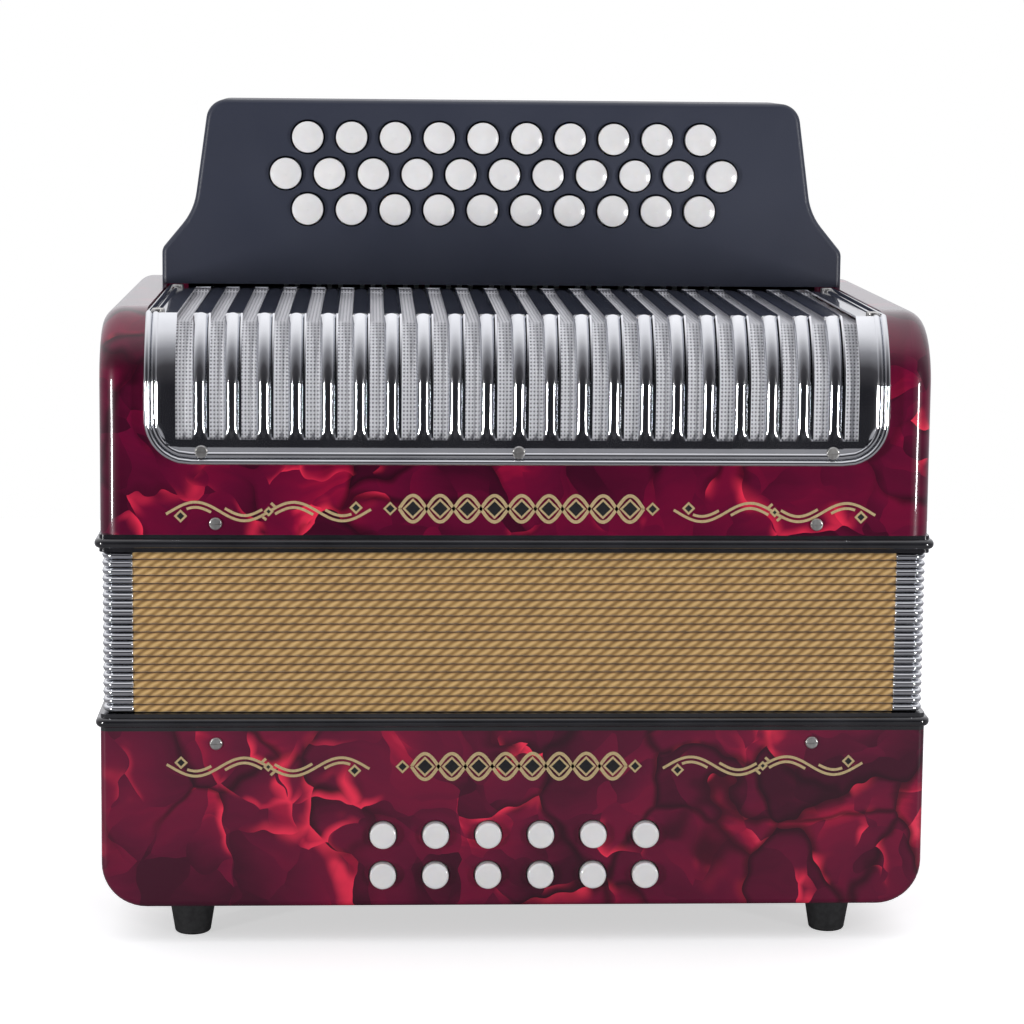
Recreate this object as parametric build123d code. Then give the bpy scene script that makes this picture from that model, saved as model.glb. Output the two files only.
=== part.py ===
from build123d import *
import os

# A three-row button accordion standing on its bass end, in millimetres.
# X runs across the instrument, -Y is the side with the grille and buttons, +Z is up.
# The origin is under the middle of the whole instrument, at the level of the feet.

# ---------------------------------------------------------------- driving dimensions
width = 313.0
depth = 185.0
wall = 4.0
grille_proud = 4.0
bracket_proud = 6.0
screw_head_height = 1.1

foot_height = 14.0
bass_height = 68.5
frame_height = 6.6
bellows_height = 61.8
treble_height = 83.5
fingerboard_height = 76.3

# Levels and faces that follow from them.
front = -(depth + bracket_proud - grille_proud - screw_head_height) / 2
back = front + depth
half_width = width / 2
bass_bottom = foot_height
bass_top = bass_bottom + bass_height
bellows_bottom = bass_top + frame_height
bellows_top = bellows_bottom + bellows_height
treble_bottom = bellows_top + frame_height
treble_top = treble_bottom + treble_height

# Treble casing and the stamped grille on it.
casing_shoulder = 27.0
casing_edge = 8.0
bass_corner = 17.0
bass_edge = 2.5
grille_half_width = 139.3
grille_sheet = 1.0
grille_front = front - grille_proud
grille_bottom = treble_bottom + 26.8
grille_top = treble_top - 1.0
grille_recede = 13.0
grille_drop = 28.4
grille_corner = 17.0
grille_bend = grille_front + grille_recede
grille_opening = 131.0
slot_count = 22
slot_pitch = 11.86
slot_width = 5.9
slot_bottom = treble_bottom + 36.5
cloth_gap = 0.25
cloth_thickness = 0.6

# Fingerboard: a hollow box on the back of the treble casing.
fingerboard_front = front + 132.0
fingerboard_depth = 40.0
fingerboard_back = fingerboard_front + fingerboard_depth
face_plate = 4.0
back_plate = 3.0
base_half_width = 141.9
waist_half_width = 128.7
crown_half_width = 122.4
side_wall = 5.0
flare_start = 14.5
flare_end = 30.5

# Treble keys: cap, lever and pallet turn together about one axle.
key_pitch = 18.13
row_names = ("lower", "middle", "upper")
row_keys = {"lower": 10, "middle": 11, "upper": 10}
row_height = {"lower": 31.3, "middle": 46.0, "upper": 61.1}
lever_offset = {"lower": 4.5, "middle": 0.0, "upper": -4.5}
pallet_width = {"lower": 10.8, "middle": 11.0, "upper": 14.0}
pallet_shift = {"lower": 2.5, "middle": -2.0, "upper": -4.5}
pallet_place = {"lower": 4.0, "middle": -28.0, "upper": -58.0}
cap_radius = 6.45
cap_proud = 3.5
cap_dome = 1.3
cap_sunk = 1.8
key_hole_radius = 7.2
lever_width = 2.0
lever_depth = 5.0
axle_radius = 1.0
axle_clearance = 0.05
axle_y = fingerboard_front + face_plate + 5.0
axle_z = treble_bottom + 53.0
pallet_length = 24.0
pallet_thickness = 4.0
pad_thickness = 2.9
board_thickness = 6.0
treble_board_top = treble_bottom + 44.0
treble_board_bottom = treble_board_top - board_thickness

# Bass buttons: plungers through the front wall.
bass_columns = 6
bass_pitch = 20.0
bass_rows = {"upper": bass_top - 40.2, "lower": bass_top - 55.9}
bass_cap_radius = 5.0
bass_cap_proud = 3.2
bass_cap_length = 4.8
bass_hole_radius = 5.5
plunger_radius = 1.5
plunger_length = 16.0
guide_from_front = 11.0
guide_thickness = 2.0
bass_board_bottom = bass_top - board_thickness

# Air button, on the back wall for the left thumb.
air_x = 118.0
air_z = bass_bottom + 34.0
air_radius = 6.5

# Bellows, closed.
bead_proud = 1.75
bead_height = 3.7
frame_rim = 14.0
bellows_inset = 1.2
bellows_wall = 20.0
reed_block_width = 20.0
reed_block_height = 42.0
reed_plate = 1.0

# Small parts.
foot_x = 123.0
foot_y_inset = 17.0
foot_top_radius = 9.0
foot_bottom_radius = 6.75
cover_half_x = 105.0
cover_half_y = 58.0
strap_width = 58.0
strap_thickness = 2.5
strap_low = 3.5
strap_end = 112.0
strap_bracket_x = 118.0
screw_head_radius = 2.4
screw_shank_radius = 1.2
screw_length = 6.0
pin_length = 3.6
shank_gap = 0.1
touch_gap = 0.1


# ---------------------------------------------------------------- helpers
def block(x_low, x_high, y_low, y_high, z_low, z_high):
    """A box between two faces on each axis."""
    middle = Pos((x_low + x_high) / 2, (y_low + y_high) / 2, (z_low + z_high) / 2)
    return middle * Box(x_high - x_low, y_high - y_low, z_high - z_low)


def rod_y(radius, x, y_low, y_high, z):
    """A round rod along Y."""
    return Pos(x, (y_low + y_high) / 2, z) * Rot(X=90) * Cylinder(radius, y_high - y_low)


def rod_z(radius, x, y, z_low, z_high):
    """A round rod along Z."""
    return Pos(x, y, (z_low + z_high) / 2) * Cylinder(radius, z_high - z_low)


def screw(length=screw_length):
    """A round-headed screw that stands along +Z, with its seat at the origin."""
    head = Pos(0, 0, screw_head_height / 2) * Cylinder(screw_head_radius, screw_head_height)
    rim = head.edges().filter_by(GeomType.CIRCLE).sort_by(Axis.Z)[-1]
    slot = Pos(0, 0, screw_head_height) * Box(2 * screw_head_radius, 0.6, 0.8)
    shank = Pos(0, 0, -length / 2) * Cylinder(screw_shank_radius, length)
    return fillet(rim, 0.6) - slot + shank


def shank_hole(length=screw_length):
    """The hole that takes a screw's shank, a little wider and deeper."""
    deep = length + 1.0
    return Pos(0, 0, -deep / 2) * Cylinder(screw_shank_radius + shank_gap, deep)


def cap(radius, height, dome, edge):
    """A button cap that stands along +Z, with its back at the origin; dome 0 is a flat top."""
    solid = Pos(0, 0, height / 2) * Cylinder(radius, height)
    if dome > 0:
        ball = (radius**2 + dome**2) / (2 * dome)
        solid &= Pos(0, 0, height - ball) * Sphere(ball)
    rounds = solid.edges().filter_by(GeomType.CIRCLE).filter_by(lambda e: e.is_closed)
    return fillet(rounds.sort_by(Axis.Z)[-1], edge)


def facing_front(x, y, z):
    """The place of a part that stands along +Z, turned to face the front."""
    return Pos(x, y, z) * Rot(X=90)


def facing_back(x, y, z):
    """The place of a part that stands along +Z, turned to face the back."""
    return Pos(x, y, z) * Rot(X=-90)


def facing_down(x, y, z):
    """The place of a part that stands along +Z, turned upside down."""
    return Pos(x, y, z) * Rot(X=180)


# ---------------------------------------------------------------- places of fasteners
grille_front_screws = [
    facing_front(x, grille_front, grille_bottom + 5.2) for x in (-118.0, 0.0, 118.0)
]
grille_top_screws = [
    Pos(x, y, grille_top) for x in (-135.0, 135.0) for y in (fingerboard_front - 5, grille_bend + 7)
]
grille_screws = grille_front_screws + grille_top_screws
treble_pins = [facing_front(x, front, treble_bottom + 4.3) for x in (-113.0, 113.0)]
treble_pins += [facing_back(x, back, treble_bottom + 4.3) for x in (-113.0, 113.0)]
bass_pins = [facing_front(x, front, bass_top - 4.7) for x in (-113.0, 113.0)]
bass_pins += [facing_back(x, back, bass_top - 4.7) for x in (-113.0, 113.0)]
bracket_z = treble_top - 26.0
bracket_screws = [
    facing_back(side * strap_bracket_x + step, back + 1.5, bracket_z)
    for side in (-1, 1)
    for step in (-17.0, 17.0)
]
cover_screws = [
    facing_down(x, y, bass_bottom)
    for x in (-cover_half_x + 6, 0.0, cover_half_x - 6)
    for y in (-cover_half_y + 6, cover_half_y - 6)
]
back_cover_screws = [
    facing_back(x, fingerboard_back, treble_top + z)
    for x, z in ((-109, 66), (0, 66), (109, 66), (-125, 8), (0, 8), (125, 8))
]


def drilled(solid, places):
    """The solid with a hole for each screw."""
    for place in places:
        solid -= place * shank_hole()
    return solid


# ---------------------------------------------------------------- treble end
def treble_outer():
    """The treble casing's outside, with the large shoulder along its front top edge."""
    low, high = treble_bottom, treble_top
    outline = Line((back, low), (front, low)) + Line((front, low), (front, high - casing_shoulder))
    outline += TangentArc(
        (front, high - casing_shoulder), (front + casing_shoulder, high), tangent=(0, 1)
    )
    outline += Line((front + casing_shoulder, high), (back, high)) + Line((back, high), (back, low))
    body = extrude(Plane.YZ * make_face(outline), half_width, both=True)
    ends = body.faces().filter_by(Axis.X).edges()
    rounded = [edge for edge in ends if edge.center().Z > low + 1]
    long_back = [edge for edge in body.edges().filter_by(Axis.X) if edge.center().Y > back - 1]
    rounded += [edge for edge in long_back if edge.center().Z > high - 1]
    return fillet(rounded, casing_edge)


def treble_casing():
    """A shell, open to the bellows, under the grille and under the fingerboard."""
    inside = block(
        -half_width + wall,
        half_width - wall,
        front + wall,
        back - wall,
        treble_bottom - 1,
        treble_top - casing_shoulder,
    )
    upper_inside = block(
        -half_width + wall,
        half_width - wall,
        front + casing_shoulder,
        back - wall,
        treble_top - casing_shoulder - 1,
        treble_top - wall,
    )
    window = block(
        -grille_opening,
        grille_opening,
        grille_front,
        fingerboard_front,
        grille_bottom + 7.3,
        treble_top + 1,
    )
    ledge = block(
        -grille_half_width - touch_gap,
        grille_half_width + touch_gap,
        front - 1,
        fingerboard_front,
        grille_top - grille_sheet,
        treble_top + 1,
    )
    lever_way = block(
        -grille_opening,
        grille_opening,
        fingerboard_front - 1,
        fingerboard_back - 6,
        treble_top - wall - 1,
        treble_top + 1,
    )
    shell = treble_outer() - inside - upper_inside - window - ledge - lever_way
    return drilled(shell, grille_screws + treble_pins + bracket_screws)


def grille_region(inset, below, behind):
    """The region behind the grille's skin, set in by inset, down to below and back to behind."""
    face_y = grille_front + inset
    top_z = grille_top - inset
    turn_z = grille_top - grille_drop
    outline = Line((behind, below), (face_y, below)) + Line((face_y, below), (face_y, turn_z))
    outline += TangentArc((face_y, turn_z), (grille_bend + inset, top_z), tangent=(0, 1))
    outline += Line((grille_bend + inset, top_z), (behind, top_z))
    outline += Line((behind, top_z), (behind, below))
    return Plane.YZ * make_face(outline)


def grille_shape(inset, below, behind):
    """The grille's skin region as a solid, with its two lower corners rounded."""
    reach = 200.0
    half = grille_half_width - inset
    frame = RectangleRounded(2 * half, reach, grille_corner - inset)
    prism = extrude(Plane.XZ * Pos(0, below + reach / 2) * frame, reach, both=True)
    return extrude(grille_region(inset, below, behind), half, both=True) & prism


def treble_grille():
    """A thin stamped shell with one slot beside the next, seated on the casing."""
    outer = grille_shape(0.0, grille_bottom, fingerboard_front)
    inner = grille_shape(grille_sheet, grille_bottom + grille_sheet, fingerboard_front + 5)
    seat = treble_outer() & block(
        -half_width, half_width, front - 1, back, treble_bottom, grille_top - grille_sheet
    )
    shell = outer - inner - seat
    for index in range(slot_count):
        x = (index - (slot_count - 1) / 2) * slot_pitch
        shell -= block(
            x - slot_width / 2,
            x + slot_width / 2,
            grille_front - 1,
            fingerboard_front - 3,
            slot_bottom,
            treble_top + 1,
        )
    return drilled(shell, grille_screws)


def grille_cloth():
    """The cloth stretched just behind the grille."""
    outside = grille_sheet + cloth_gap
    half = grille_opening - 0.5
    low = slot_bottom - 3
    outer = extrude(grille_region(outside, low, fingerboard_front - 0.5), half, both=True)
    inner = extrude(
        grille_region(outside + cloth_thickness, low - 1, fingerboard_front + 1), half + 1, both=True
    )
    return outer - inner


def fingerboard_outline(inset, below):
    """The fingerboard's waisted outline, set in by inset, as a face in the XZ plane."""
    crown = treble_top + fingerboard_height - inset
    base = base_half_width - inset
    waist = waist_half_width - inset
    top = crown_half_width - inset
    flare_low = treble_top + flare_start
    flare_high = treble_top + flare_end
    right = [(base, below), (base, flare_low), (waist, flare_high), (top, crown)]
    left = [(-x, z) for x, z in reversed(right)]
    outline = FilletPolyline(*right, *left, radius=(5.0, 26.0, 8.5, 8.5, 26.0, 5.0))
    outline += Line((-base, below), (base, below))
    return make_face(outline)


def key_places(row):
    """The X place of each key in a row, from the left."""
    count = row_keys[row]
    return [(index - (count - 1) / 2) * key_pitch for index in range(count)]


def fingerboard():
    """The front box with its button holes, and its back cover as a second piece."""
    outline = fingerboard_outline(0.0, treble_top)
    body = extrude(Plane.XZ.offset(-fingerboard_back) * outline, fingerboard_depth)
    front_rim = [e for e in body.edges() if abs(e.center().Y - fingerboard_front) < 0.01]
    body = fillet([e for e in front_rim if e.center().Z > treble_top + 1], 2.0)
    hollow = fingerboard_outline(side_wall, treble_top - 1)
    hollow_depth = fingerboard_depth - face_plate + 1
    body -= extrude(Plane.XZ.offset(-fingerboard_back - 1) * hollow, hollow_depth)
    for row in row_names:
        for x in key_places(row):
            z = treble_top + row_height[row]
            body -= rod_y(key_hole_radius, x, fingerboard_front - 1, fingerboard_front + 8, z)
    lid = fingerboard_outline(side_wall + touch_gap, treble_top + touch_gap)
    cover = extrude(Plane.XZ.offset(-fingerboard_back) * lid, back_plate)
    cover = drilled(cover, back_cover_screws)
    return Compound([body, cover])


def treble_key(row, x):
    """One key: cap, stem, lever, post, pallet and pad, each a plain piece of its own."""
    cap_z = treble_top + row_height[row]
    back_of_cap = fingerboard_front + cap_sunk
    lever_front = axle_y - lever_depth / 2
    lever_x = x + lever_offset[row]
    low_x = lever_x - lever_width / 2
    high_x = lever_x + lever_width / 2
    place = pallet_place[row]
    pallet_x = x + pallet_shift[row]
    half_pallet = pallet_width[row] / 2
    pallet_low = treble_board_top + touch_gap + pad_thickness
    pallet_high = pallet_low + pallet_thickness
    stem_radius = 2.2
    tab_front = lever_front - 2.0

    button = facing_front(x, back_of_cap, cap_z) * cap(
        cap_radius, cap_sunk + cap_proud, cap_dome, 0.7
    )
    stem = rod_y(stem_radius, x, back_of_cap, tab_front, cap_z)
    tab = block(
        min(x - stem_radius, low_x),
        max(x + stem_radius, high_x),
        tab_front,
        lever_front,
        cap_z - 2.5,
        cap_z + 2.5,
    )
    upright = block(low_x, high_x, lever_front, axle_y + lever_depth / 2, axle_z, cap_z + 2.5)
    hub = Pos(lever_x, axle_y, axle_z) * Rot(Y=90)
    upright += hub * Cylinder(lever_depth / 2, lever_width)
    upright -= hub * Cylinder(axle_radius + axle_clearance, lever_width + 1)
    arm = block(low_x, high_x, place - 8, lever_front, axle_z, axle_z + 3)
    post = rod_z(1.5, lever_x, place, pallet_high, axle_z)
    pallet = block(
        pallet_x - half_pallet,
        pallet_x + half_pallet,
        place - pallet_length / 2,
        place + pallet_length / 2,
        pallet_low,
        pallet_high,
    )
    pad = block(
        pallet_x - half_pallet,
        pallet_x + half_pallet,
        place - pallet_length / 2,
        place + pallet_length / 2,
        treble_board_top + touch_gap,
        pallet_low,
    )
    return Compound([button, stem, tab, upright, arm, post, pallet, pad])


def treble_action_board():
    """The board that the pallets close on, with one air slot under each pallet."""
    edge = touch_gap + wall
    board = block(
        -half_width + edge,
        half_width - edge,
        front + edge,
        back - edge,
        treble_board_bottom,
        treble_board_top,
    )
    for row in row_names:
        place = pallet_place[row]
        for x in key_places(row):
            slot_x = x + pallet_shift[row]
            half = pallet_width[row] / 2 - 2.5
            board -= block(
                slot_x - half,
                slot_x + half,
                place - 9,
                place + 9,
                treble_board_bottom - 1,
                treble_board_top + 1,
            )
    return board


def reed_bank(place, count, half_length, low, high):
    """One wooden reed block with its metal reed plates along both sides."""
    core = reed_block_width / 2 - reed_plate
    pieces = [block(-half_length, half_length, place - core, place + core, low, high)]
    plate_pitch = 2 * half_length / count
    for index in range(count):
        x = (index - (count - 1) / 2) * plate_pitch
        for y_low in (place - core - reed_plate, place + core):
            pieces.append(
                block(x - 7.5, x + 7.5, y_low, y_low + reed_plate, low + 3, high - 3)
            )
    return pieces


def treble_reed_blocks():
    """Three reed blocks that hang from the treble board into the bellows."""
    low = treble_board_bottom - reed_block_height
    pieces = []
    for row in row_names:
        pieces += reed_bank(pallet_place[row], row_keys[row], 105.0, low, treble_board_bottom)
    return Compound(pieces)


def key_axle():
    """The axle through all the levers, on two posts that stand on the treble board."""
    reach = 112.0
    axle = Pos(0, axle_y, axle_z) * Rot(Y=90) * Cylinder(axle_radius, 2 * reach)
    pieces = [axle]
    for side in (-1, 1):
        middle = side * (reach - 2.5)
        post = block(
            middle - 1.5, middle + 1.5, axle_y - 6, axle_y + 6, treble_board_top, axle_z + 5
        )
        bore = Pos(middle, axle_y, axle_z) * Rot(Y=90) * Cylinder(axle_radius, 10)
        pieces.append(post - bore)
    return pieces


def strap_bracket(side):
    """A stamped bridge on the back wall that a shoulder strap passes under."""
    plate = 1.5
    rise = bracket_proud - plate
    x = side * strap_bracket_x
    bridge = block(
        x - 13, x + 13, back + rise, back + bracket_proud, bracket_z - 8, bracket_z + 8
    )
    pieces = bridge
    for end in (-1, 1):
        leg = x + end * 12.25
        foot = x + end * 17.5
        pieces += block(leg - 0.75, leg + 0.75, back, back + rise, bracket_z - 8, bracket_z + 8)
        pieces += block(foot - 4.5, foot + 4.5, back, back + plate, bracket_z - 8, bracket_z + 8)
    holes = [place for place in bracket_screws if place.position.X * side > 0]
    return drilled(pieces, holes)


def treble_hardware():
    """The metal small parts of the treble end: screws, pins, strap brackets and key axle."""
    pieces = [place * screw() for place in grille_screws + bracket_screws]
    pieces += [place * screw(pin_length) for place in treble_pins]
    pieces += [place * screw(back_plate - 0.5) for place in back_cover_screws]
    pieces += [strap_bracket(side) for side in (-1, 1)]
    return Compound(pieces + key_axle())


# ---------------------------------------------------------------- bellows
def bellows_frame(low):
    """A rim round the bellows' end, with a half-round bead along its middle."""
    middle = low + frame_height / 2
    centre_y = (front + back) / 2
    rim = Pos(0, centre_y, middle) * Box(width, depth, frame_height)
    rim = fillet(rim.edges().filter_by(Axis.Z), bass_edge)
    bead = Pos(0, centre_y, middle) * Box(
        width + 2 * bead_proud, depth + 2 * bead_proud, bead_height
    )
    bead = fillet(bead.edges().filter_by(Axis.Z), bass_edge + bead_proud)
    lips = [edge for edge in bead.edges() if abs(edge.center().Z - middle) > 1]
    bead = fillet(lips, bead_height / 2 - 0.15)
    hole = Pos(0, centre_y, middle) * Box(
        width - 2 * frame_rim, depth - 2 * frame_rim, frame_height + 2
    )
    return rim + bead - hole


def bellows():
    """The closed bellows as one plain square tube."""
    centre = Pos(0, (front + back) / 2, (bellows_bottom + bellows_top) / 2)
    height = bellows_height - 2 * touch_gap
    outer = Box(width - 2 * bellows_inset, depth - 2 * bellows_inset, height)
    thick = bellows_inset + bellows_wall
    inner = Box(width - 2 * thick, depth - 2 * thick, height + 2)
    return centre * (outer - inner)


# ---------------------------------------------------------------- bass end
def bass_outer():
    """The bass casing's outside, with its two large corners at the bottom."""
    low, high = bass_bottom, bass_top
    side = half_width
    outline = FilletPolyline(
        (side, high), (side, low), (-side, low), (-side, high), radius=bass_corner
    )
    outline += Line((-side, high), (side, high))
    body = extrude(Plane.XZ.offset(-back) * make_face(outline), depth)
    ends = body.faces().filter_by(Axis.Y).edges()
    return fillet([edge for edge in ends if edge.center().Z < high - 1], bass_edge)


def bass_button_places():
    """Row name, number, X and Z of each bass button."""
    places = []
    for row, z in bass_rows.items():
        for index in range(bass_columns):
            x = (index - (bass_columns - 1) / 2) * bass_pitch
            places.append((row, index + 1, x, z))
    return places


def bass_casing():
    """A shell, open to the bellows above and to the end cover below."""
    inside = block(
        -half_width + bass_corner,
        half_width - bass_corner,
        front + wall,
        back - wall,
        bass_bottom + wall,
        bass_top + 1,
    )
    upper_inside = block(
        -half_width + wall,
        half_width - wall,
        front + wall,
        back - wall,
        bass_bottom + bass_corner,
        bass_top + 1,
    )
    end_hole = block(
        -cover_half_x + 8,
        cover_half_x - 8,
        -cover_half_y + 8,
        cover_half_y - 8,
        bass_bottom - 1,
        bass_bottom + wall + 1,
    )
    cover_seat = block(
        -cover_half_x, cover_half_x, -cover_half_y, cover_half_y, bass_bottom - 1, bass_bottom + 2.5
    )
    shell = bass_outer() - inside - upper_inside - end_hole - cover_seat
    for _, _, x, z in bass_button_places():
        shell -= rod_y(bass_hole_radius, x, front - 1, front + wall + 1, z)
    shell -= rod_y(air_radius + 0.5, air_x, back - wall - 1, back + 1, air_z)
    return drilled(shell, bass_pins + cover_screws)


def bass_end_cover():
    """The cover let into the bass end, with slots that let the sound and air out."""
    cover = block(
        -cover_half_x + touch_gap,
        cover_half_x - touch_gap,
        -cover_half_y + touch_gap,
        cover_half_y - touch_gap,
        bass_bottom,
        bass_bottom + 2.5,
    )
    for y in (-42.0, 42.0):
        for index in range(9):
            x = (index - 4) * 20.0
            slot = Pos(x, y, bass_bottom) * extrude(SlotOverall(14, 4), 10, both=True)
            cover -= slot
    return drilled(cover, cover_screws)


def bass_button(x, z):
    """A plunger: a flat-topped cap on a stem that slides in the guide rail."""
    back_of_cap = front - bass_cap_proud + bass_cap_length
    button = facing_front(x, back_of_cap, z) * cap(bass_cap_radius, bass_cap_length, 0.0, 0.9)
    stem = rod_y(plunger_radius, x, back_of_cap, front + plunger_length, z)
    return Compound([button, stem])


def air_button():
    """The thumb's air button: a domed cap on a stem through the back wall."""
    base = back - 1.5
    button = facing_back(air_x, base, air_z) * cap(air_radius, 5.0, 1.2, 0.7)
    stem = rod_y(2.0, air_x, base - 16, base, air_z)
    return Compound([button, stem])


def bass_reed_assembly():
    """The bass board with its pallets at rest below it and its reed blocks above it."""
    edge = touch_gap + wall
    board = block(
        -half_width + edge,
        half_width - edge,
        front + edge,
        back - edge,
        bass_board_bottom,
        bass_top,
    )
    pieces = []
    for _, number, x, z in bass_button_places():
        y = -34.0 if z > bass_bottom + 20 else 4.0
        board -= block(x - 5, x + 5, y - 10, y + 10, bass_board_bottom - 1, bass_top + 1)
        pieces.append(
            block(x - 7.5, x + 7.5, y - 13, y + 13, bass_board_bottom - 6, bass_board_bottom)
        )
    board -= rod_z(9, 100, 50, bass_board_bottom - 1, bass_top + 1)
    pieces.append(rod_z(12, 100, 50, bass_board_bottom - 5, bass_board_bottom))
    pieces.append(board)
    for y in (-34.0, 4.0):
        pieces += reed_bank(y, bass_columns, 66.0, bass_top, bass_top + reed_block_height)
    return Compound(pieces)


def rubber_feet():
    """Four tapered rubber feet."""
    feet = []
    for x in (-foot_x, foot_x):
        for y in (front + foot_y_inset, back - foot_y_inset):
            taper = Cone(foot_bottom_radius, foot_top_radius, foot_height)
            sole = taper.edges().filter_by(GeomType.CIRCLE).sort_by(Axis.Z)[0]
            feet.append(Pos(x, y, foot_height / 2) * fillet(sole, 1.2))
    return Compound(feet)


def hand_strap():
    """A leather strap across the bass end, from one end plate to the other."""
    top = bass_bottom - 2.0
    low = strap_low
    flat = strap_end - 24
    outline = FilletPolyline(
        (-strap_end - 8, top),
        (-strap_end, top),
        (-flat, low + strap_thickness),
        (flat, low + strap_thickness),
        (strap_end, top),
        (strap_end + 8, top),
        (strap_end + 8, top - strap_thickness),
        (strap_end, top - strap_thickness),
        (flat, low),
        (-flat, low),
        (-strap_end, top - strap_thickness),
        (-strap_end - 8, top - strap_thickness),
        radius=(3.0, 20.0, 20.0, 3.0, 0.5, 0.5, 3.0, 20.0, 20.0, 3.0),
    )
    outline += Line((-strap_end - 8, top - strap_thickness), (-strap_end - 8, top))
    return extrude(Plane.XZ * make_face(outline), strap_width / 2, both=True)


def bass_hardware():
    """The metal small parts of the bass end: screws, pins, strap plates and guide rail."""
    pieces = [place * screw(pin_length) for place in bass_pins]
    pieces += [place * screw(2.0) for place in cover_screws]
    half_strap = strap_width / 2
    for side in (-1, 1):
        x = side * (strap_end + 4)
        pieces.append(block(x - 4, x + 4, -half_strap, half_strap, bass_bottom - 2, bass_bottom))
    y = front + guide_from_front
    reach = bass_columns * bass_pitch / 2 + 4
    lowest, highest = bass_rows["lower"] - 5, bass_board_bottom - 8
    rail = block(-reach, reach, y, y + guide_thickness, lowest, highest)
    for _, _, x, z in bass_button_places():
        rail -= rod_y(plunger_radius + axle_clearance, x, y - 1, y + guide_thickness + 1, z)
    pieces.append(rail)
    return Compound(pieces)


# ---------------------------------------------------------------- the assembly
nodes = {
    "bass_casing": bass_casing(),
    "bass_end_cover": bass_end_cover(),
    "bass_reed_assembly": bass_reed_assembly(),
    "bass_bellows_frame": bellows_frame(bass_top),
    "rubber_feet": rubber_feet(),
    "hand_strap": hand_strap(),
    "bass_hardware": bass_hardware(),
    "air_button": air_button(),
    "bellows": bellows(),
    "treble_casing": treble_casing(),
    "treble_grille": treble_grille(),
    "grille_cloth": grille_cloth(),
    "fingerboard": fingerboard(),
    "treble_action_board": treble_action_board(),
    "treble_reed_blocks": treble_reed_blocks(),
    "treble_bellows_frame": bellows_frame(bellows_top),
    "treble_hardware": treble_hardware(),
}
for row, number, x, z in bass_button_places():
    nodes[f"bass_button_{row}_{number}"] = bass_button(x, z)
for row in row_names:
    for number, x in enumerate(key_places(row), start=1):
        nodes[f"treble_key_{row}_{number:02d}"] = treble_key(row, x)

os.makedirs("parts", exist_ok=True)
for name, shape in nodes.items():
    export_step(shape, f"parts/{name}.step")
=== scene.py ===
import math

import bmesh
import bpy
from mathutils import Matrix, Vector


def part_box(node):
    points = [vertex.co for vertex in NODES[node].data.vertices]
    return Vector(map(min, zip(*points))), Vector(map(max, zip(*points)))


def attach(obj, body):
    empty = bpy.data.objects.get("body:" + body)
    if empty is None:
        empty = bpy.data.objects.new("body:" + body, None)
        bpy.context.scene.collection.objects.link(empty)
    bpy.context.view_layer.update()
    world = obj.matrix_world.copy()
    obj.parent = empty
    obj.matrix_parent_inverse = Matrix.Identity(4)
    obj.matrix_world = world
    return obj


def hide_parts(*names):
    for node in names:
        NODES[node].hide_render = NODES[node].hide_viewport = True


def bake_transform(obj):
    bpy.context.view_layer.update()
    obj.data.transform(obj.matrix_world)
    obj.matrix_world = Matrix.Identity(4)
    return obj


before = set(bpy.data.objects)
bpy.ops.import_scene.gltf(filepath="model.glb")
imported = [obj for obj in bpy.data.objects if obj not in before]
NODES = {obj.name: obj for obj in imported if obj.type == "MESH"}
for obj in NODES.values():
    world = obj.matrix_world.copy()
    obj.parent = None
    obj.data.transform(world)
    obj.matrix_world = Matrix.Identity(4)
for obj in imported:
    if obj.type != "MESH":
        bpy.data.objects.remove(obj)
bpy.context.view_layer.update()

# Blender units are metres. Lengths written in millimetres are multiplied by MM.
MM = 0.001

casing_low, casing_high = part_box("treble_casing")
bass_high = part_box("bass_casing")[1]
grille_low, grille_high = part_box("treble_grille")
board_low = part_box("fingerboard")[0]
bellows_low, bellows_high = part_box("bellows")
FRONT_Y = casing_low.y
BACK_Y = casing_high.y
MIDDLE_Y = (FRONT_Y + BACK_Y) / 2

# The bellows cord: the length of one strand's turn, and the share of a turn that the strand slants
# by for each radian round the cord.
STRAND_PITCH = 4.7 * MM
STRAND_SLANT = 0.36


# ---------------------------------------------------------------- node helpers
def add(tree, kind, **settings):
    """Adds a shader node. A setting is a property, an input's value, or a socket to link to an input."""
    node = tree.nodes.new("ShaderNode" + kind)
    for key, value in settings.items():
        name = key.replace("_", " ")
        if hasattr(node, key) and key not in ("color", "location"):
            setattr(node, key, value)
            continue
        socket = node.inputs[int(key[1:])] if key[1:].isdigit() else node.inputs[name]
        if isinstance(value, bpy.types.NodeSocket):
            tree.links.new(value, socket)
        else:
            socket.default_value = value
    return node


def math_node(tree, operation, first, second=0.0, third=0.0):
    """The result of one Math node."""
    return add(tree, "Math", operation=operation, i0=first, i1=second, i2=third).outputs[0]


def ramp(tree, factor, stops):
    """A colour ramp through (position, colour) stops."""
    node = add(tree, "ValToRGB", Fac=factor)
    elements = node.color_ramp.elements
    while len(elements) < len(stops):
        elements.new(0.5)
    for element, (position, colour) in zip(elements, stops):
        element.position = position
        element.color = (*colour, 1.0)
    return node.outputs["Color"]


def new_material(name, **settings):
    """A material with a Principled shader; returns the material, its tree and the shader."""
    material = bpy.data.materials.new(name)
    material.use_nodes = True
    tree = material.node_tree
    shader = tree.nodes["Principled BSDF"]
    for key, value in settings.items():
        shader.inputs[key.replace("_", " ")].default_value = value
    return material, tree, shader


def place(tree):
    """Positions in the object's frame, in metres."""
    return add(tree, "TexCoord").outputs["Object"]


def bump(tree, shader, height, strength, distance):
    """Joins a height to the shader's normal."""
    node = add(tree, "Bump", Height=height, Strength=strength, Distance=distance)
    tree.links.new(node.outputs["Normal"], shader.inputs["Normal"])


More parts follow.
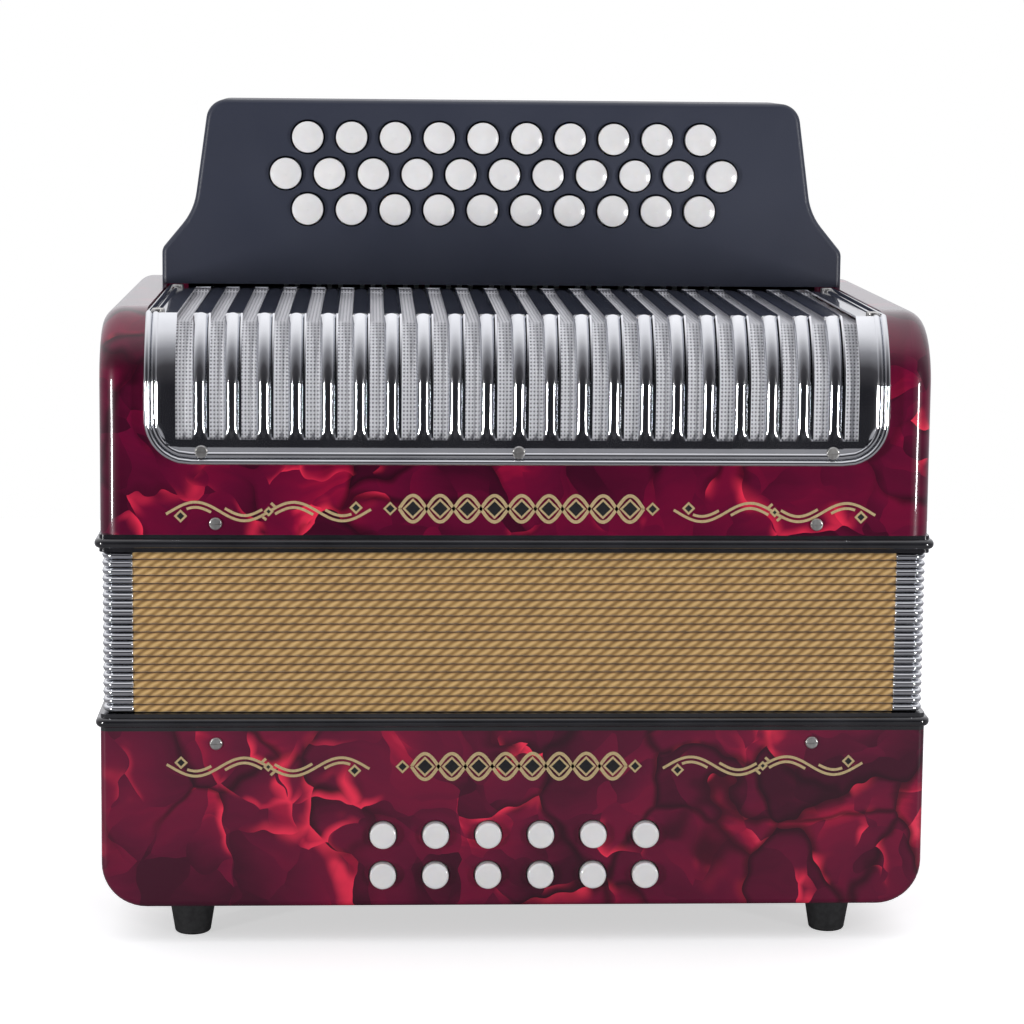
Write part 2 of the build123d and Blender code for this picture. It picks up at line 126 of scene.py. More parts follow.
def surface_place(tree):
    """The (across, along) place that a mesh keeps in its flat_place attribute, in metres."""
    node = add(tree, "Attribute", attribute_name="flat_place")
    return node.outputs["Vector"]


def noise(tree, vector, scale, detail=3.0, roughness=0.5):
    """A noise texture's value."""
    node = add(tree, "TexNoise", Vector=vector, Scale=scale, Detail=detail, Roughness=roughness)
    return node.outputs["Fac"]


# ---------------------------------------------------------------- materials
def map_range(tree, value, low, high, low_result=0.0, high_result=1.0):
    """A value moved from one range to another, smoothly at both ends."""
    node = add(
        tree,
        "MapRange",
        interpolation_type="SMOOTHSTEP",
        Value=value,
        From_Min=low,
        From_Max=high,
        To_Min=low_result,
        To_Max=high_result,
    )
    return node.outputs["Result"]


def pearl_flakes(tree, where, scale):
    """One layer of pearl flakes: how each is lit across, and how near its edge is."""
    cells = add(tree, "TexVoronoi", Vector=where, Scale=scale, Randomness=1.0)
    edges = add(
        tree, "TexVoronoi", Vector=where, Scale=scale, Randomness=1.0, feature="DISTANCE_TO_EDGE"
    )
    inside = add(tree, "VectorMath", operation="SUBTRACT", i0=where, i1=cells.outputs["Position"])
    light = add(
        tree, "VectorMath", operation="SUBTRACT", i0=cells.outputs["Color"], i1=(0.5, 0.5, 0.5)
    )
    slope = add(
        tree, "VectorMath", operation="DOT_PRODUCT", i0=inside.outputs[0], i1=light.outputs[0]
    )
    shade_across = math_node(tree, "MULTIPLY_ADD", slope.outputs["Value"], scale * 1.5, 0.42)
    return shade_across, edges.outputs["Distance"]


def crease(tree, distance, width, where, scale, low, high):
    """A line that fades away from a flake's edge, present only in patches."""
    line = map_range(tree, distance, 0.0, width, 1.0, 0.0)
    patches = map_range(tree, noise(tree, where, scale, 2.0), low, high)
    return math_node(tree, "MULTIPLY", line, patches)


def pearloid():
    """Deep red celluloid with crumpled pearl flakes under a clear polished surface. Its colour holds
    painted light and shade: each flake lit on one side and shaded on the other, painted crease shadows
    and painted glints along flake edges.
    """
    material, tree, shader = new_material(
        "pearloid_red", Roughness=0.34, Coat_Weight=1.0, Coat_Roughness=0.02
    )
    shader.inputs["Specular IOR Level"].default_value = 0.2
    where = place(tree)
    bend = add(tree, "TexNoise", Vector=where, Scale=17.0, Detail=3.0, Roughness=0.55)
    centred = add(
        tree, "VectorMath", operation="SUBTRACT", i0=bend.outputs["Color"], i1=(0.5, 0.5, 0.5)
    )
    pushed = add(
        tree, "VectorMath", operation="MULTIPLY_ADD", i0=centred.outputs[0], i1=(0.055, 0.055, 0.055)
    )
    tree.links.new(where, pushed.inputs[2])
    large, large_edge = pearl_flakes(tree, pushed.outputs[0], 24.0)
    small, small_edge = pearl_flakes(tree, pushed.outputs[0], 55.0)
    flakes = math_node(tree, "MULTIPLY_ADD", small, 0.35, math_node(tree, "MULTIPLY", large, 0.65))
    fibres = add(tree, "Mapping", Vector=pushed.outputs[0], Scale=(26.0, 26.0, 150.0))
    fine = noise(tree, fibres.outputs[0], 1.4, 3.0)
    level = math_node(tree, "ADD", flakes, math_node(tree, "MULTIPLY_ADD", fine, 0.26, -0.13))
    # Painted light and shade: each flake is painted lighter on one side and darker on the other, and the
    # brightest stop is a painted highlight. The fibre noise adds random tone.
    base = ramp(
        tree,
        level,
        [
            (0.10, (0.053, 0.0004, 0.015)),
            (0.40, (0.124, 0.0008, 0.028)),
            (0.66, (0.200, 0.0012, 0.034)),
            (0.80, (0.420, 0.0050, 0.045)),
            (0.92, (0.880, 0.0400, 0.100)),
        ],
    )
    # Painted shadow: dark crease lines along some flake edges.
    shadow = crease(tree, large_edge, 0.07, where, 11.0, 0.42, 0.58)
    dark = add(
        tree, "Mix", data_type="RGBA", i0=math_node(tree, "MULTIPLY", shadow, 0.75), i6=base,
        i7=(0.018, 0.0002, 0.006, 1.0),
    )
    # Painted highlights: bright glint lines along flake edges, only on the lit side of each flake.
    glint_large = crease(tree, large_edge, 0.11, where, 34.0, 0.52, 0.62)
    lit_large = map_range(tree, large, 0.47, 0.72)
    glint_small = crease(tree, small_edge, 0.20, where, 21.0, 0.55, 0.64)
    lit_small = map_range(tree, small, 0.45, 0.70)
    glint = math_node(
        tree,
        "MAXIMUM",
        math_node(tree, "MULTIPLY", glint_large, lit_large),
        math_node(tree, "MULTIPLY", glint_small, lit_small),
    )
    colour = add(
        tree, "Mix", data_type="RGBA", i0=glint, i6=dark.outputs[2], i7=(0.90, 0.030, 0.085, 1.0)
    )
    tree.links.new(colour.outputs[2], shader.inputs["Base Color"])
    bump(tree, shader, flakes, 0.03, 0.0004)
    return material


def black_lacquer():
    """Black gloss lacquer with a faint ripple."""
    material, tree, shader = new_material(
        "black_lacquer", Roughness=0.18, Coat_Weight=0.8, Coat_Roughness=0.05
    )
    where = place(tree)
    colour = ramp(
        tree, noise(tree, where, 60.0), [(0.3, (0.008, 0.008, 0.010)), (0.8, (0.022, 0.022, 0.026))]
    )
    tree.links.new(colour, shader.inputs["Base Color"])
    bump(tree, shader, noise(tree, where, 220.0), 0.12, 0.0003)
    return material


def fingerboard_black():
    """Satin black plastic with a fine grain and faint handling marks."""
    material, tree, shader = new_material("fingerboard_satin", Roughness=0.42)
    where = place(tree)
    broad = noise(tree, where, 9.0, 4.0)
    colour = ramp(tree, broad, [(0.3, (0.029, 0.034, 0.056)), (0.75, (0.042, 0.048, 0.074))])
    tree.links.new(colour, shader.inputs["Base Color"])
    rough = math_node(tree, "MULTIPLY_ADD", noise(tree, where, 35.0, 5.0), 0.16, 0.34)
    tree.links.new(rough, shader.inputs["Roughness"])
    bump(tree, shader, noise(tree, where, 1600.0, 2.0), 0.25, 0.00012)
    return material


def polished_chrome():
    """Polished chrome plate with a very faint haze and pressing ripple."""
    material, tree, shader = new_material("grille_polished_chrome", Metallic=1.0)
    where = place(tree)
    haze = noise(tree, where, 45.0, 4.0)
    colour = ramp(tree, haze, [(0.3, (0.72, 0.73, 0.76)), (0.8, (0.84, 0.85, 0.87))])
    tree.links.new(colour, shader.inputs["Base Color"])
    tree.links.new(math_node(tree, "MULTIPLY_ADD", haze, 0.10, 0.045), shader.inputs["Roughness"])
    bump(tree, shader, noise(tree, where, 120.0, 2.0), 0.06, 0.0006)
    return material


def grained_metal(name, stretch, detail, stops, rough_low, rough_span, relief=0.0):
    """Satin metal whose colour and roughness follow one grain, given as the noise's stretch."""
    material, tree, shader = new_material(name, Metallic=1.0)
    grain_place = add(tree, "Mapping", Vector=place(tree), Scale=stretch)
    grain = noise(tree, grain_place.outputs[0], 1.0, detail)
    tree.links.new(ramp(tree, grain, stops), shader.inputs["Base Color"])
    rough = math_node(tree, "MULTIPLY_ADD", grain, rough_span, rough_low)
    tree.links.new(rough, shader.inputs["Roughness"])
    if relief:
        bump(tree, shader, grain, relief, 0.0002)
    return material


def button_plastic():
    """Polished off-white plastic with a slight mottle."""
    material, tree, shader = new_material(
        "button_white", Roughness=0.16, Coat_Weight=0.5, Coat_Roughness=0.04, Subsurface_Weight=0.1
    )
    shader.inputs["Subsurface Radius"].default_value = (0.004, 0.003, 0.002)
    shader.inputs["Subsurface Scale"].default_value = 0.5
    where = place(tree)
    colour = ramp(
        tree, noise(tree, where, 130.0, 3.0), [(0.3, (0.85, 0.84, 0.84)), (0.75, (0.93, 0.92, 0.92))]
    )
    tree.links.new(colour, shader.inputs["Base Color"])
    bump(tree, shader, noise(tree, where, 300.0), 0.03, 0.0002)
    return material


def wood(name, dark, light, along):
    """Bare wood with grain along one axis, given as the noise's stretch."""
    material, tree, shader = new_material(name, Roughness=0.6)
    grain_place = add(tree, "Mapping", Vector=place(tree), Scale=along)
    grain = noise(tree, grain_place.outputs[0], 1.0, 5.0, 0.6)
    tree.links.new(ramp(tree, grain, [(0.3, dark), (0.7, light)]), shader.inputs["Base Color"])
    bump(tree, shader, grain, 0.2, 0.0002)
    return material


def grained(name, scale, detail, stops, relief=0.0, **settings):
    """A material that only varies between two colours with a fine grain, raised by its relief."""
    material, tree, shader = new_material(name, **settings)
    grain = noise(tree, place(tree), scale, detail)
    tree.links.new(ramp(tree, grain, stops), shader.inputs["Base Color"])
    if relief:
        bump(tree, shader, grain, relief, 0.0002)
    return material


def strap_leather():
    """Black grained leather, a little worn on its high places."""
    material, tree, shader = new_material("strap_leather", Coat_Weight=0.1, Coat_Roughness=0.4)
    where = place(tree)
    pebbles = add(tree, "TexVoronoi", Vector=where, Scale=900.0, feature="SMOOTH_F1")
    worn = noise(tree, where, 40.0, 4.0)
    colour = ramp(tree, worn, [(0.35, (0.012, 0.010, 0.009)), (0.8, (0.040, 0.032, 0.027))])
    tree.links.new(colour, shader.inputs["Base Color"])
    tree.links.new(math_node(tree, "MULTIPLY_ADD", worn, -0.3, 0.62), shader.inputs["Roughness"])
    bump(tree, shader, pebbles.outputs["Distance"], 0.5, 0.0004)
    return material


def within_cell(tree, place_along, pitch):
    """How far a place is from the middle of its cell, in cells."""
    part = math_node(tree, "FRACT", math_node(tree, "DIVIDE", place_along, pitch))
    return math_node(tree, "SUBTRACT", part, 0.5)


def grille_mesh_cloth():
    """White open-weave cloth: a square grid of threads with a hole in each cell, painted dark as painted
    shade from the inside of the casing.
    """
    material, tree, shader = new_material("grille_mesh_cloth", Roughness=0.75, Sheen_Weight=0.2)
    cloth_place = surface_place(tree)
    split = add(tree, "SeparateXYZ", Vector=cloth_place)
    across = within_cell(tree, split.outputs["X"], 1.28 * MM)
    along = within_cell(tree, split.outputs["Y"], 1.5 * MM)
    squares = math_node(
        tree,
        "ADD",
        math_node(tree, "MULTIPLY", across, across),
        math_node(tree, "MULTIPLY", along, along),
    )
    reach = math_node(tree, "SQRT", squares)
    rim = math_node(tree, "MULTIPLY_ADD", noise(tree, cloth_place, 2200.0, 2.0), 0.14, reach)
    # Painted shade: the middle of each cell, the hole, is painted dark for the shaded inside of the
    # casing seen through it.
    colour = ramp(
        tree,
        rim,
        [
            (0.21, (0.15, 0.15, 0.17)),
            (0.30, (0.54, 0.54, 0.58)),
            (0.38, (0.87, 0.87, 0.91)),
            (0.62, (0.94, 0.94, 0.97)),
        ],
    )
    tree.links.new(colour, shader.inputs["Base Color"])
    bump(tree, shader, rim, 0.8, 0.0004)
    return material


def bellows_rope_cloth():
    """Gold twisted cord: fine strands that run slantwise, with painted shade in the grooves between them
    and painted highlights on their crests.
    """
    material, tree, shader = new_material("bellows_rope_cloth", Roughness=0.5, Sheen_Weight=0.3)
    split = add(tree, "SeparateXYZ", Vector=surface_place(tree))
    turn = math_node(tree, "DIVIDE", split.outputs["X"], STRAND_PITCH)
    slant = math_node(tree, "MULTIPLY_ADD", split.outputs["Y"], -STRAND_SLANT, turn)
    fine = math_node(tree, "SINE", math_node(tree, "MULTIPLY", slant, 2 * math.pi * 5))
    coarse = math_node(tree, "COSINE", math_node(tree, "MULTIPLY", slant, 2 * math.pi))
    wear = noise(tree, place(tree), 160.0, 4.0)
    level = math_node(tree, "MULTIPLY_ADD", coarse, 0.26, 0.5)
    level = math_node(tree, "ADD", level, math_node(tree, "MULTIPLY", fine, 0.07))
    level = math_node(tree, "ADD", level, math_node(tree, "MULTIPLY_ADD", wear, 0.3, -0.15))
    # Painted shade and highlights: the ramp paints the grooves between strands dark and their crests
    # bright. The wear noise adds random tone.
    colour = ramp(
        tree,
        level,
        [
            (0.10, (0.17, 0.085, 0.022)),
            (0.42, (0.47, 0.275, 0.085)),
            (0.85, (0.76, 0.510, 0.215)),
        ],
    )
    tree.links.new(colour, shader.inputs["Base Color"])
    bump(tree, shader, level, 0.5, 0.0004)
    return material


def fold_card():
    """The dark cloth-covered card of the bellows folds."""
    material, tree, shader = new_material("fold_card", Roughness=0.8, Sheen_Weight=0.2)
    where = place(tree)
    weave_x = add(tree, "TexWave", Vector=where, Scale=420.0, Distortion=0.6)
    wear = noise(tree, where, 60.0, 4.0)
    level = math_node(tree, "MULTIPLY_ADD", weave_x.outputs["Fac"], 0.3, wear)
    colour = ramp(tree, level, [(0.3, (0.075, 0.040, 0.014)), (0.9, (0.19, 0.110, 0.042))])
    tree.links.new(colour, shader.inputs["Base Color"])
    bump(tree, shader, level, 0.3, 0.0003)
    return material


PEARL = pearloid()
LACQUER = black_lacquer()
BOARD_BLACK = fingerboard_black()
CHROME = polished_chrome()
NICKEL = grained_metal(
    "nickel_plate", (900.0, 900.0, 160.0), 2.0,
    [(0.2, (0.50, 0.49, 0.47)), (0.8, (0.72, 0.71, 0.69))], 0.24, 0.20, 0.08,
)
LEVER = grained_metal(
    "lever_aluminium", (700.0, 700.0, 700.0), 3.0,
    [(0.2, (0.55, 0.55, 0.56)), (0.8, (0.74, 0.74, 0.75))], 0.3, 0.15,
)
WHITE = button_plastic()
REED_WOOD = wood("reed_maple", (0.34, 0.20, 0.10), (0.60, 0.42, 0.24), (25.0, 300.0, 300.0))
PALLET_WOOD = wood("pallet_beech", (0.42, 0.27, 0.15), (0.66, 0.47, 0.29), (300.0, 40.0, 300.0))
PALLET_LEATHER = grained(
    "pallet_leather", 900.0, 3.0, [(0.3, (0.40, 0.30, 0.20)), (0.7, (0.58, 0.46, 0.33))], 0.4,
    Roughness=0.85, Sheen_Weight=0.3,
)
RUBBER = grained(
    "foot_rubber", 500.0, 4.0, [(0.3, (0.010, 0.010, 0.011)), (0.8, (0.028, 0.028, 0.030))], 0.3,
    Roughness=0.7,
)
STRAP = strap_leather()
THREAD = grained(
    "waxed_thread", 2500.0, 2.0, [(0.3, (0.25, 0.17, 0.09)), (0.7, (0.45, 0.33, 0.19))],
    Roughness=0.6, Sheen_Weight=0.3,
)
GOLD = grained(
    "gold_print", 1400.0, 3.0, [(0.3, (0.56, 0.43, 0.22)), (0.7, (0.68, 0.53, 0.29))],
    Roughness=0.38, Metallic=0.25,
)
INK = grained(
    "black_print", 1400.0, 3.0, [(0.3, (0.006, 0.006, 0.008)), (0.7, (0.016, 0.016, 0.018))],
    Roughness=0.4,
)
MESH_CLOTH = grille_mesh_cloth()
ROPE = bellows_rope_cloth()
FOLD_CARD = fold_card()


# ---------------------------------------------------------------- mesh helpers
def shade(obj, sharp_degrees=40.0):
    """Smooth shading, with edges sharper than an angle left crisp."""
    made = bmesh.new()
    made.from_mesh(obj.data)
    limit = math.radians(sharp_degrees)
    for face in made.faces:
        face.smooth = True
    for edge in made.edges:
        edge.smooth = len(edge.link_faces) == 2 and edge.calc_face_angle(0.0) < limit
    made.to_mesh(obj.data)
    made.free()


def mesh_piece(name, points, faces, materials, body, flat=None):
    """A new piece from points and faces, riding on a body; flat is each point's cloth place."""
    mesh = bpy.data.meshes.new(name)
    mesh.from_pydata(points, [], faces)
    mesh.update()
    if flat is not None:
        attribute = mesh.attributes.new("flat_place", "FLOAT_VECTOR", "POINT")
        attribute.data.foreach_set("vector", [value for place_3d in flat for value in place_3d])
    obj = bpy.data.objects.new(name, mesh)
    bpy.context.scene.collection.objects.link(obj)
    for material in materials:
        mesh.materials.append(material)
    if body is not None:
        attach(obj, body)
    return obj


def grid_faces(rows, columns, keep=None):
    """Faces of a grid of points stored row by row; keep(row, column) leaves faces out."""
    faces = []
    for row in range(rows - 1):
        for column in range(columns - 1):
            if keep is None or keep(row, column):
                first = row * columns + column
                faces.append((first, first + 1, first + columns + 1, first + columns))
    return faces


def tube_faces(stations, size):
    """Side faces of a tube whose sections, of size points each, are stored one after another."""
    faces = []
    for station in range(stations - 1):
        first = station * size
        for corner in range(size):
            after = (corner + 1) % size
            faces.append(
                (first + corner, first + after, first + size + after, first + size + corner)
            )
    return faces


def end_faces(stations, size):
    """The two flat ends of such a tube."""
    last = (stations - 1) * size
    return [tuple(reversed(range(size))), tuple(range(last, last + size))]


def smooth(value):
    """A smooth step from 0 to 1."""
    value = min(max(value, 0.0), 1.0)
    return value * value * (3 - 2 * value)


def thicken(obj, thickness):
    """Gives a sheet its thickness, inwards, and applies it."""
    modifier = obj.modifiers.new("thickness", "SOLIDIFY")
    modifier.thickness = thickness
    modifier.offset = -1.0
    graph = bpy.context.evaluated_depsgraph_get()
    thick = bpy.data.meshes.new_from_object(obj.evaluated_get(graph))
    obj.modifiers.clear()
    obj.data = thick


# ---------------------------------------------------------------- the grille
SHOULDER_DEPTH = 13.0 * MM
BEND_Y = grille_low.y + SHOULDER_DEPTH
SHOULDER_DROP = 28.4 * MM
SHOULDER_Z = grille_high.z - SHOULDER_DROP
SHOULDER_RADIUS = (SHOULDER_DROP**2 + SHOULDER_DEPTH**2) / (2 * SHOULDER_DEPTH)
SHOULDER_ANGLE = math.asin(SHOULDER_DROP / SHOULDER_RADIUS)
FRONT_RUN = SHOULDER_Z - grille_low.z
SHOULDER_RUN = SHOULDER_RADIUS * SHOULDER_ANGLE
TOP_RUN = board_low.y - BEND_Y
GRILLE_RUN = FRONT_RUN + SHOULDER_RUN + TOP_RUN
GRILLE_HALF = grille_high.x
GRILLE_CORNER = 17.0 * MM
SLOT_COUNT = 22
SLOT_PITCH = 11.86 * MM
SLOT_WIDTH = 5.9 * MM
SLOT_START = 9.7 * MM
SLOT_END = GRILLE_RUN - 3.0 * MM


def skin(along):
    """The grille's skin at a distance from its lower edge: Y, Z, and the outward normal's Y, Z."""
    if along <= FRONT_RUN:
        return grille_low.y, grille_low.z + along, -1.0, 0.0
    if along <= FRONT_RUN + SHOULDER_RUN:
        angle = (along - FRONT_RUN) / SHOULDER_RADIUS
        y = grille_low.y + SHOULDER_RADIUS * (1 - math.cos(angle))
        z = SHOULDER_Z + SHOULDER_RADIUS * math.sin(angle)
        return y, z, -math.cos(angle), math.sin(angle)
    return BEND_Y + along - FRONT_RUN - SHOULDER_RUN, grille_high.z, 0.0, 1.0


def off_skin(x, along, height):
    """A point at a height above the grille's skin; the normal turns evenly through the bend."""
    y, z, normal_y, normal_z = skin(along)
    past_bend = along - FRONT_RUN - SHOULDER_RUN
    reach = 3.0 * MM
    if 0 <= past_bend < reach:
        share = past_bend / reach
        angle = SHOULDER_ANGLE + (math.pi / 2 - SHOULDER_ANGLE) * (0.5 + share / 2)
        normal_y, normal_z = -math.cos(angle), math.sin(angle)
    elif -reach < past_bend < 0:
        share = 1 + past_bend / reach
        angle = SHOULDER_ANGLE + (math.pi / 2 - SHOULDER_ANGLE) * share / 2
        normal_y, normal_z = -math.cos(angle), math.sin(angle)
    return Vector((x, y + normal_y * height, z + normal_z * height))


def rounded_place(x, along):
    """Moves a place near a lower corner so that square loops become rounded ones."""
    across = abs(x) - (GRILLE_HALF - GRILLE_CORNER)
    down = GRILLE_CORNER - along
    if across <= 0 or down <= 0:
        return x, along
    if across >= down:
        angle = math.pi / 4 * down / across
        radius = across
    else:
        angle = math.pi / 2 - math.pi / 4 * across / down
        radius = down
    share = smooth((radius - 9.5 * MM) / (3.0 * MM))
    round_across = radius * math.cos(angle)
    round_down = radius * math.sin(angle)
    new_across = across + (round_across - across) * share
    new_down = down + (round_down - down) * share
    new_x = GRILLE_HALF - GRILLE_CORNER + new_across
    return math.copysign(new_x, x), GRILLE_CORNER - new_down


BEAD = 2.6 * MM
BEAD_STEPS = [step * MM for step in (0.0, 0.02, 0.25, 0.6, 1.0, 1.3, 1.6, 2.0, 2.35, 2.6)]
RIM_STEPS = BEAD_STEPS + [BEAD + step for step in BEAD_STEPS[1:]]
# From the grille's side edge to the flat border inside the beads.
BORDER = 8.5 * MM


def bead_height(inset):
    """The two half-round beads along the grille's rim."""
    if inset >= 2 * BEAD:
        return 0.0
    outer = inset < BEAD
    turn = (inset if outer else inset - BEAD) / BEAD * 2 - 1
    round_part = math.sqrt(max(0.0, 1 - turn * turn))
    return (1.75 * round_part - 0.85) * MM if outer else (1.25 * round_part - 0.85) * MM


def edge_drop(along):
    """How far the rim turns down to the casing at a distance along the skin."""
    past_bend = along - FRONT_RUN - SHOULDER_RUN
    front_drop = 4.3 * MM
    top_drop = 1.3 * MM
    bend_drop = 7.0 * MM
    if past_bend > 0:
        return top_drop + (bend_drop - top_drop) * (1 - smooth(past_bend / (9 * MM)))
    return front_drop + (bend_drop - front_drop) * smooth((along - FRONT_RUN) / SHOULDER_RUN)


def rib_height(share, along):
    """A rib's half-round section; share runs from -1 to 1 across it. It dies out at both ends."""
    start = smooth((along - SLOT_START + 0.5 * MM) / (5.0 * MM))
    end = smooth((SLOT_END - along) / (5.0 * MM))
    past_bend = along - FRONT_RUN - SHOULDER_RUN
    flatten = 1.0 - 0.72 * smooth((past_bend + 1.0 * MM) / (3.0 * MM))
    pinch = math.exp(-((past_bend / (1.5 * MM)) ** 2))
    rounded = math.sqrt(max(0.0, 1 - share * share))
    full = (2.7 * rounded - 2.45) * MM * flatten - 0.5 * MM * pinch * (1 - rounded)
    return full * min(start, end)


def grille_columns():
    """Places across the grille, with what each is: (x, rib share or None, slot starts here)."""
    columns = [(-GRILLE_HALF + inset, None, False) for inset in RIM_STEPS]
    columns.append((-GRILLE_HALF + BORDER, None, False))
    shares = [math.sin(math.radians(angle)) for angle in range(-90, 91, 20)]
    for index in range(SLOT_COUNT):
        centre = (index - (SLOT_COUNT - 1) / 2) * SLOT_PITCH
        columns.append((centre - SLOT_WIDTH / 2, None, True))
        if index < SLOT_COUNT - 1:
            rib_half = (SLOT_PITCH - SLOT_WIDTH) / 2
            rib_centre = centre + SLOT_PITCH / 2
            columns += [(rib_centre + share * rib_half, share, False) for share in shares]
        else:
            columns.append((centre + SLOT_WIDTH / 2, None, False))
    columns.append((GRILLE_HALF - BORDER, None, False))
    columns += [(GRILLE_HALF - inset, None, False) for inset in reversed(RIM_STEPS)]
    return columns


def grille_rows():
    """Distances along the skin, closer together where its shape changes quickly."""
    rows = RIM_STEPS + [7.2 * MM, 8.8 * MM]
    rows += [SLOT_START + step * MM for step in (-0.5, 0.0, 0.5, 1.0, 1.6, 2.3, 3.1, 4.0, 5.0)]
    bend = FRONT_RUN + SHOULDER_RUN
    while rows[-1] < bend - 5.5 * MM:
        rows.append(rows[-1] + 2.2 * MM)
    rows = [row for row in rows if row < bend - 3.4 * MM]
    rows += [bend + step * MM for step in (-3, -2, -1.4, -0.9, -0.4, 0, 0.4, 0.9, 1.4, 2, 3, 4.5, 7)]
    while rows[-1] < SLOT_END - 10 * MM:
        rows.append(rows[-1] + 6 * MM)
    rows += [SLOT_END - 5 * MM, SLOT_END - 2.5 * MM, SLOT_END, SLOT_END + 1 * MM, GRILLE_RUN]
    return rows


def make_grille():
    """The stamped grille: rim beads, ribs and slots on one bent sheet."""
    columns = grille_columns()
    rows = grille_rows()
    points = []
    for along in rows:
        for x, share, _ in columns:
            inset = min(GRILLE_HALF - abs(x), along)
            height = bead_height(inset)
            if share is not None:
                height += rib_height(share, along)
            if inset < 0.01 * MM:
                height = -edge_drop(along)
            new_x, new_along = rounded_place(x, along)
            points.append(off_skin(new_x, new_along, height))

    def solid_face(row, column):
        """Whether a face of the sheet is metal and not an open slot."""
        in_slot = columns[column][2]
        middle = (rows[row] + rows[row + 1]) / 2
        return not (in_slot and SLOT_START < middle < SLOT_END)

    faces = grid_faces(len(rows), len(columns), solid_face)
    faces = [face[::-1] for face in faces]
    grille = mesh_piece("grille_shell", points, faces, [CHROME], "treble_end")
    turned_out = grille.data.polygons[len(columns) * 25].normal
    if turned_out.y > 0:
        grille.data.flip_normals()
    thicken(grille, 0.7 * MM)
    shade(grille, 50)
    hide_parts("treble_grille")


def make_grille_cloth():
    """The cloth stretched behind the grille, turned up where it meets the fingerboard."""
    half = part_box("grille_cloth")[1].x
    behind = -3.1 * MM
    start = SLOT_START - 4 * MM
    rows = [start + (GRILLE_RUN - 1 * MM - start) * index / 90 for index in range(91)]
    columns = [-half + 2 * half * index / 60 for index in range(61)]
    points, flat = [], []
    for along in rows:
        lift = 2.4 * MM * smooth((along - GRILLE_RUN + 6 * MM) / (4.5 * MM))
        for x in columns:
            slack = 0.12 * MM * math.sin(x * 900) * math.sin(along * 240)
            points.append(off_skin(x, along, behind + lift + slack))
            flat.append((x, along, 0.0))
    faces = grid_faces(len(rows), len(columns))
    cloth = mesh_piece(
        "grille_cloth_sheet", points, faces, [MESH_CLOTH], "treble_end", flat
    )
    if cloth.data.polygons[0].normal.y > 0:
        cloth.data.flip_normals()
    thicken(cloth, 0.3 * MM)
    shade(cloth, 60)
    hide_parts("grille_cloth")


# ---------------------------------------------------------------- the bellows
FOLDS = 20
FOLD_PITCH = (bellows_high.z - bellows_low.z) / FOLDS
FOLD_DEPTH = 18.0 * MM
CORNER_ARM = 10.0 * MM
CORNER_RADIUS = 3.0 * MM


def follow_bellows(piece):
    """Bakes a whole piece's transform into its mesh."""
    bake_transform(piece)


def stretch_with_bellows(piece):
    """Bakes a band's transform into its mesh."""
    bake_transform(piece)


def half_round(radius_out, radius_up, steps):
    """A half-round section: (outwards, up, angle) points, closed by a flat back."""
    section = [(-1.2 * MM, -radius_up, -math.pi / 2)]
    for index in range(steps + 1):
        angle = -math.pi / 2 + math.pi * index / steps
        section.append((radius_out * math.cos(angle), radius_up * math.sin(angle), angle))
    section.append((-1.2 * MM, radius_up, math.pi / 2))
    return section


def swept(stations, section, shape):
    """Sweeps a closed section past (point, outward, distance) stations; returns points, faces, flat."""
    points, flat = [], []
    for number, (point, outward, distance) in enumerate(stations):
        for out, up, angle in section:
            scale = shape(distance, angle, number)
            points.append(point + outward * out * scale + Vector((0, 0, up)))
            flat.append((distance, angle, 0.0))
    size = len(section)
    faces = tube_faces(len(stations), size) + end_faces(len(stations), size)
    return points, faces, flat


def join(parts):
    """Joins several (points, faces, flat) parts into one; flat may be empty in all of them."""
    points, faces, flat = [], [], []
    for part_points, part_faces, part_flat in parts:
        base = len(points)
        points += part_points
        flat += part_flat
        faces += [tuple(base + index for index in face) for face in part_faces]
    return points, faces, flat


def outward_faces(obj):
    """Turns every face outwards."""
    made = bmesh.new()
    made.from_mesh(obj.data)
    bmesh.ops.recalc_face_normals(made, faces=made.faces)
    made.to_mesh(obj.data)
    made.free()


ROPE_HALF_X = bellows_high.x - 1.5 * MM
ROPE_HALF_Y = (bellows_high.y - bellows_low.y) / 2 - 1.5 * MM


def rope_runs(z, fold):
    """The cord along the four sides of one fold, between the corner pieces."""
    section = half_round(1.5 * MM, 0.44 * FOLD_PITCH, 5)
    offset = fold * 1.7 * MM

    def twist(distance, angle, _):
        """The strands' ridges, which wind round the cord."""
        return 1.0 + 0.17 * math.cos(2 * math.pi * (distance / STRAND_PITCH - STRAND_SLANT * angle))

    parts = []
    for normal, half_out, half_run in (
        (Vector((0, -1, 0)), ROPE_HALF_Y, ROPE_HALF_X),
        (Vector((0, 1, 0)), ROPE_HALF_Y, ROPE_HALF_X),
        (Vector((-1, 0, 0)), ROPE_HALF_X, ROPE_HALF_Y),
        (Vector((1, 0, 0)), ROPE_HALF_X, ROPE_HALF_Y),
    ):
        along = Vector((-normal.y, normal.x, 0))
        reach = half_run - CORNER_ARM + 1.5 * MM
        count = int(2 * reach / (0.9 * MM))
        centre = Vector((0, MIDDLE_Y, z)) + normal * half_out
        stations = []
        for index in range(count + 1):
            run = -reach + 2 * reach * index / count
            stations.append((centre + along * run, normal, run + offset))
        parts.append(swept(stations, section, twist))
    return join(parts)


